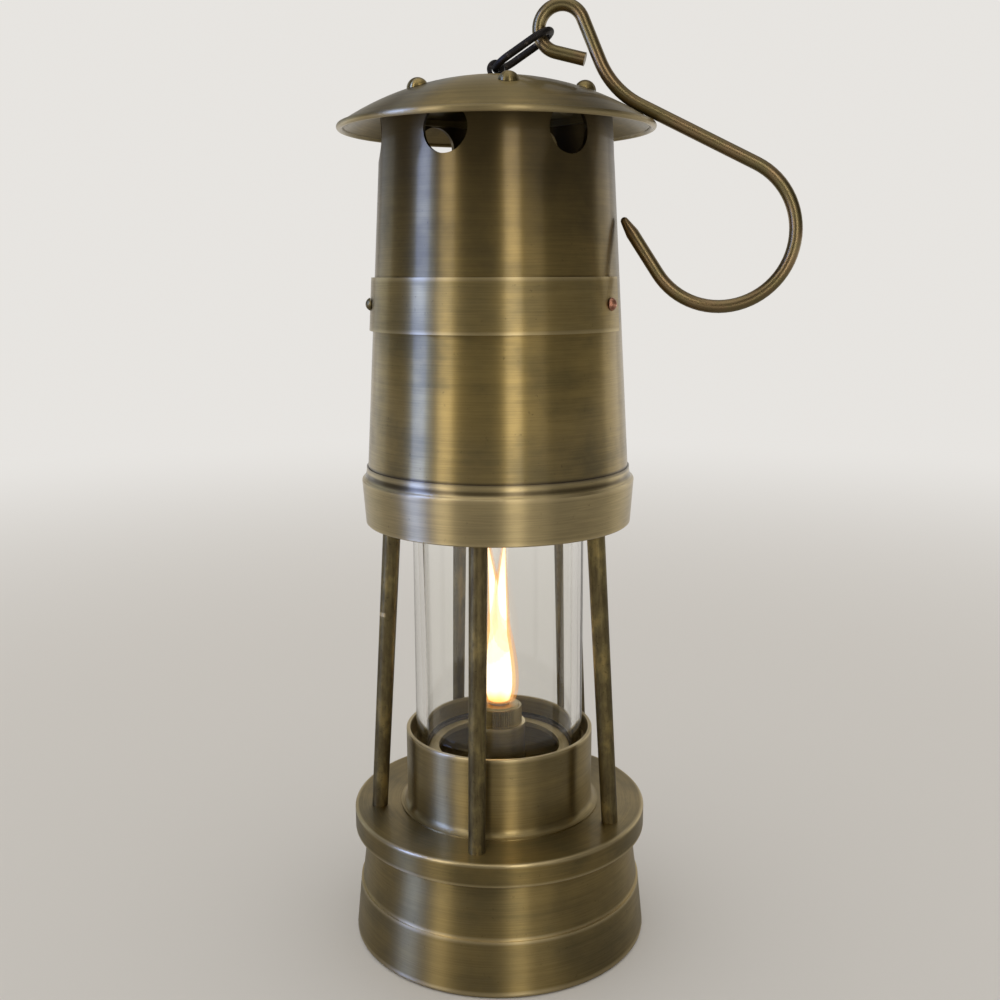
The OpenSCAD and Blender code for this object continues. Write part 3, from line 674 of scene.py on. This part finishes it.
class LAMP_OT_hook(bpy.types.Operator):
    """Long hook, bent from one round wire"""

    bl_idname = "lamp.hook"
    bl_label = "Hook"

    def execute(self, context):
        hook = context.scene.lamp_hook
        heading, eye = self.hang(hook)
        eye_start = heading - hook.reverse_turn + hook.eye_turn
        start = eye + hook.eye_r * side(eye_start) - hook.stub * ahead(eye_start)
        deselect()
        bpy.ops.mesh.primitive_circle_add(
            vertices=24, radius=hook.wire_d / 2, fill_type="NGON", location=start,
            rotation=(0, math.pi / 2 - eye_start, 0))
        piece = context.object
        piece.name = "hook_wire"
        bpy.ops.object.mode_set(mode="EDIT")
        bpy.ops.mesh.select_all(action="SELECT")
        self.run(hook.stub, eye_start)
        place = start + hook.stub * ahead(eye_start)
        place, now = self.bend(place, eye_start, hook.eye_r, -hook.eye_turn, 32)
        self.run(hook.neck, now)
        place = place + hook.neck * ahead(now)
        place, now = self.bend(place, now, hook.reverse_r, hook.reverse_turn, 12)
        self.run(hook.shank, now)
        place = place + hook.shank * ahead(now)
        place, now = self.bend(place, now, hook.loop_r, -hook.loop_turn, 44)
        self.run(hook.point - hook.taper, now)
        self.taper(hook, now)
        bpy.ops.mesh.select_all(action="SELECT")
        bpy.ops.mesh.remove_doubles(threshold=0.001 * MM)
        bpy.ops.mesh.normals_make_consistent(inside=False)
        bpy.ops.object.mode_set(mode="OBJECT")
        bpy.ops.object.transform_apply(location=True, rotation=True, scale=True)
        bpy.ops.object.shade_smooth_by_angle(angle=math.radians(40))
        piece.data.materials.append(hook_brass())
        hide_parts("hook")
        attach(piece, "hook")
        return {"FINISHED"}

    def hang(self, hook):
        """Heading of the shank, which lies on the cap's rim, and the place of the eye's middle."""
        link_end = joint_place("hook_swing")
        inside = hook.eye_r - hook.wire_d / 2 - hook.play - hook.link_wire_d / 2
        eye = link_end + inside * ahead(hook.eye_side)
        low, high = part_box("bonnet_cap")
        bead_r = 0.9 * MM
        rim = Vector((high[0] - bead_r, 0, low[2] + bead_r))
        drop = (hook.reverse_r - (hook.reverse_r + hook.eye_r) * math.cos(hook.reverse_turn)
                + hook.neck * math.sin(hook.reverse_turn))
        reach = drop + hook.wire_d / 2 + hook.play + bead_r
        away = rim - eye
        return math.atan2(away.z, away.x) + math.asin(reach / away.length), eye

    def run(self, length, heading):
        """Draws the open end straight on."""
        bpy.ops.mesh.extrude_region_move(TRANSFORM_OT_translate={"value": length * ahead(heading)})

    def bend(self, place, heading, radius, turn, steps):
        """Spins the open end, to the left where the turn is above zero. Gives the new place and heading."""
        way = 1 if turn > 0 else -1
        centre = place + way * radius * side(heading)
        bpy.ops.mesh.spin(steps=steps, angle=abs(turn), center=centre, axis=(0, way, 0), dupli=False)
        heading += turn
        return centre - way * radius * side(heading), heading

    def taper(self, hook, heading):
        """Draws the point down to its round tip."""
        tip_r = hook.tip_d / 2
        self.run(hook.taper - tip_r, heading)
        self.shrink(hook.tip_d / hook.wire_d)
        for low, high in ((0, 30), (30, 60), (60, 85)):
            rise = tip_r * (math.sin(math.radians(high)) - math.sin(math.radians(low)))
            self.run(rise, heading)
            self.shrink(math.cos(math.radians(high)) / math.cos(math.radians(low)))

    def shrink(self, share):
        bpy.ops.transform.resize(value=(share, share, share))


def ahead(heading):
    """Unit vector along a heading in the hook's plane."""
    return Vector((math.cos(heading), 0, math.sin(heading)))


def side(heading):
    """Unit vector to the left of a heading."""
    return Vector((-math.sin(heading), 0, math.cos(heading)))


def hook_brass():
    brass = bpy.context.scene.lamp_brass
    finish = Finish("hook_bronze")
    x, y, z = finish.place()
    cloud = finish.noise(finish.point(x, y, z), 130, 4, 0.6)
    grain = finish.noise(finish.point(x, y, z), 2200, 2, 0.6)
    colour = finish.mix(finish.rise(cloud, 0.38, 0.62), tuple(brass.hook), tuple(brass.olive))
    colour = finish.mix(finish.rise(grain, 0.60, 0.80) * 0.25, colour, tuple(brass.patina))
    return finish.surface(
        base_color=colour, metallic=0.95, roughness=0.27 + cloud * 0.12,
        normal=finish.bump(grain, 0.01 * MM, 0.2), coat_weight=0.2, coat_roughness=0.15)


class LAMP_OT_flame(bpy.types.Operator):
    """Flame over the wick: a pale core in two clearer and warmer layers"""

    bl_idname = "lamp.flame"
    bl_label = "Flame"

    def execute(self, context):
        flame = context.scene.lamp_flame
        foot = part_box("wick")[1][2] - 0.4 * MM
        reach = flame.width / 2
        tongues = (
            (0.95, 0.76, -0.6 * MM, 0.0),
            (0.58, 1.02, -3.6 * MM, 0.6 * MM),
            (0.60, 1.05, 2.2 * MM, -0.5 * MM))
        layers = (
            ("flame_core", 0.66, flame.core, 1.0, 3.0),
            ("flame_inner", 0.84, flame.inner, 0.32, 1.3),
            ("flame_mantle", 1.0, flame.mantle, 0.20, 1.1))
        for name, share, colour, cover, strength in layers:
            height = (0.8 + 0.2 * share) * flame.height
            pieces = [
                self.tongue(foot, share * wide * reach, tall * height, lean, back)
                for wide, tall, lean, back in tongues]
            glow = flame_glow(name, foot, flame.height, tuple(flame.mantle), tuple(colour), cover, strength)
            self.light(name, pieces, glow)
        return {"FINISHED"}

    def tongue(self, foot, reach, height, lean, back):
        """A teardrop drawn up ring by ring, whose tip leans over."""
        deselect()
        bpy.ops.mesh.primitive_circle_add(
            vertices=20, radius=reach * flame_share(0.0), fill_type="NGON", location=(0, 0, foot))
        piece = bpy.context.object
        bpy.ops.object.mode_set(mode="EDIT")
        bpy.ops.mesh.select_all(action="SELECT")
        rings = 16
        for i in range(1, rings + 1):
            low, high = (i - 1) / rings, i / rings
            sway = (high ** 2 - low ** 2) * Vector((lean, back, 0)) + (high - low) * Vector((0, 0, height))
            bpy.ops.mesh.extrude_region_move(TRANSFORM_OT_translate={"value": sway})
            share = flame_share(high) / flame_share(low)
            bpy.ops.transform.resize(value=(share, share, 1))
        bpy.ops.mesh.select_all(action="SELECT")
        bpy.ops.mesh.normals_make_consistent(inside=False)
        bpy.ops.object.mode_set(mode="OBJECT")
        return piece

    def light(self, name, tongues, material):
        """Joins tongues into one glowing piece that rides on the wick."""
        deselect()
        for tongue in tongues:
            tongue.select_set(True)
        bpy.context.view_layer.objects.active = tongues[0]
        bpy.ops.object.join()
        piece = bpy.context.object
        piece.name = name
        bpy.ops.object.transform_apply(location=True, rotation=True, scale=True)
        bpy.ops.object.shade_smooth()
        piece.data.materials.append(material)
        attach(piece, "wick")


def flame_share(t):
    """Width of the flame at a share of its height, as a share of its widest part."""
    return 0.02 + 1.9 * (0.06 + t) ** 0.32 * (1 - t) ** 1.15 * (1 - 0.12 * t)


def flame_glow(name, foot, height, low_colour, high_colour, cover, strength):
    """Glow that turns from low_colour at the wick to high_colour, and part of the way back at the tip."""
    finish = Finish(name)
    x, y, z = finish.place()
    up = (z - foot) / height
    flicker = finish.noise(finish.point(x, y, z * 0.3), 260, 2, 0.5)
    hot = finish.rise(up + (flicker - 0.5) * 0.08, 0.0, 0.10) * (1.0 - finish.rise(up, 0.55, 1.0) * 0.7)
    colour = finish.mix(hot, low_colour, high_colour)
    alpha = cover * (1.0 - finish.rise(up, 0.7, 1.05) * 0.6)
    return finish.surface(
        base_color=(0, 0, 0, 1), roughness=1.0, specular_ior_level=0.0, emission_color=colour,
        emission_strength=strength, alpha=alpha)


STEPS = (LAMP_OT_studio, LAMP_OT_vessel, LAMP_OT_cage, LAMP_OT_bonnet, LAMP_OT_pillars, LAMP_OT_glass,
         LAMP_OT_burner, LAMP_OT_gauze, LAMP_OT_chain, LAMP_OT_hook, LAMP_OT_flame)


class LAMP_PT_panel(bpy.types.Panel):
    """The steps that dress the lamp"""

    bl_idname = "LAMP_PT_panel"
    bl_label = "Miners Lamp"
    bl_space_type = "VIEW_3D"
    bl_region_type = "UI"
    bl_category = "Lamp"

    def draw(self, context):
        for step in STEPS:
            self.layout.operator(step.bl_idname)


GROUPS = {"lamp_studio": LampStudio, "lamp_brass": LampBrass, "lamp_hook": LampHook, "lamp_flame": LampFlame}


def register():
    for group in (*GROUPS.values(), *STEPS, LAMP_PT_panel):
        bpy.utils.register_class(group)
    for name, group in GROUPS.items():
        setattr(bpy.types.Scene, name, bpy.props.PointerProperty(type=group))


def unregister():
    for name in GROUPS:
        delattr(bpy.types.Scene, name)
    for group in reversed((*GROUPS.values(), *STEPS, LAMP_PT_panel)):
        bpy.utils.unregister_class(group)


def main():
    register()
    bpy.ops.lamp.studio()
    bpy.ops.lamp.vessel()
    bpy.ops.lamp.cage()
    bpy.ops.lamp.bonnet()
    bpy.ops.lamp.pillars()
    bpy.ops.lamp.glass()
    bpy.ops.lamp.burner()
    bpy.ops.lamp.gauze()
    bpy.ops.lamp.chain()
    bpy.ops.lamp.hook()
    bpy.ops.lamp.flame()


if __name__ == "__main__":
    main()
